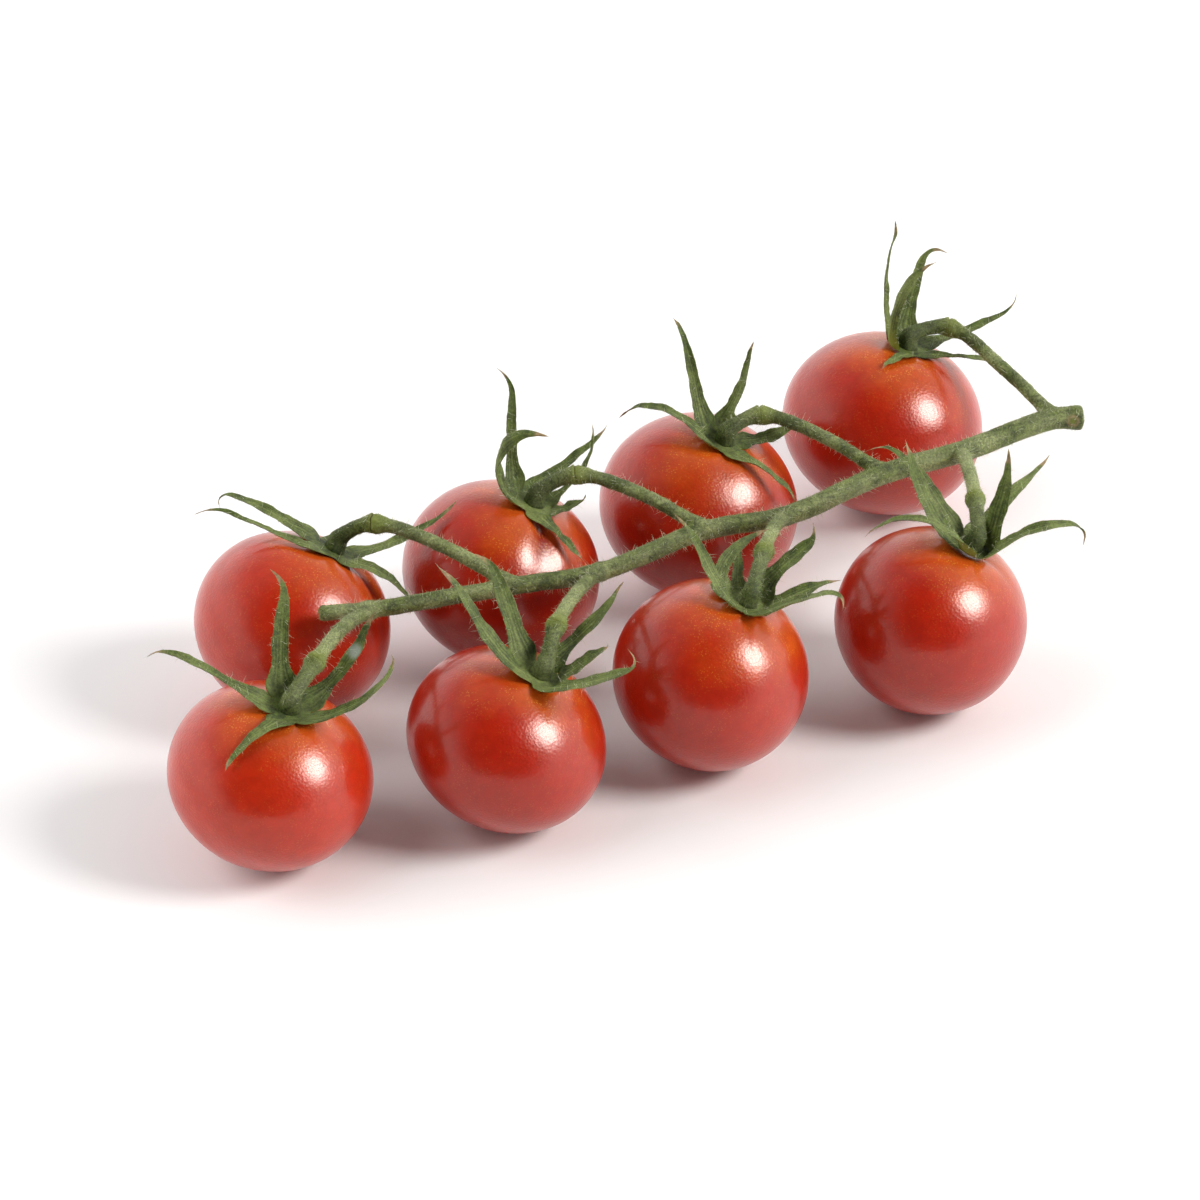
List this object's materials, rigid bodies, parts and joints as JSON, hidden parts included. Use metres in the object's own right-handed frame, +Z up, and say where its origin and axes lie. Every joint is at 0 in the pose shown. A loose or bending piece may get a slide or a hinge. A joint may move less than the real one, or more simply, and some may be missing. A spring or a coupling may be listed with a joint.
{
  "type": "truss of tomatoes",
  "caption": "Truss of ripe cherry tomatoes lying on a surface: round glossy red fruits in two rows along one green stem, each with a knuckled stalk and a calyx of narrow curling sepals.",
  "frame": {"origin": "on the surface that the truss lies on, under the middle of the box around the whole truss", "axes": "+X along the main stem, from its thin tip to its thick cut end; +Y towards the back row of fruits; +Z up"},
  "size_m": [0.1614, 0.0818, 0.0503],
  "materials": {
    "fruit_skin": "glossy ripe tomato skin, red with orange shoulders",
    "stem_green": "matt, finely hairy green stem",
    "calyx_green": "matt, finely hairy green sepals with dry brown tips"
  },
  "bodies": {
    "root": {"main_stem": "stem_green", "tomato_front_1": "fruit_skin", "calyx_front_1": "calyx_green", "stalk_front_1": "stem_green", "tomato_front_2": "fruit_skin", "calyx_front_2": "calyx_green", "stalk_front_2": "stem_green", "tomato_front_3": "fruit_skin", "calyx_front_3": "calyx_green", "stalk_front_3": "stem_green", "tomato_front_4": "fruit_skin", "calyx_front_4": "calyx_green", "stalk_front_4": "stem_green", "tomato_back_1": "fruit_skin", "calyx_back_1": "calyx_green", "stalk_back_1": "stem_green", "tomato_back_2": "fruit_skin", "calyx_back_2": "calyx_green", "stalk_back_2": "stem_green", "tomato_back_3": "fruit_skin", "calyx_back_3": "calyx_green", "stalk_back_3": "stem_green", "tomato_back_4": "fruit_skin", "calyx_back_4": "calyx_green", "stalk_back_4": "stem_green"}
  },
  "joints": []
}
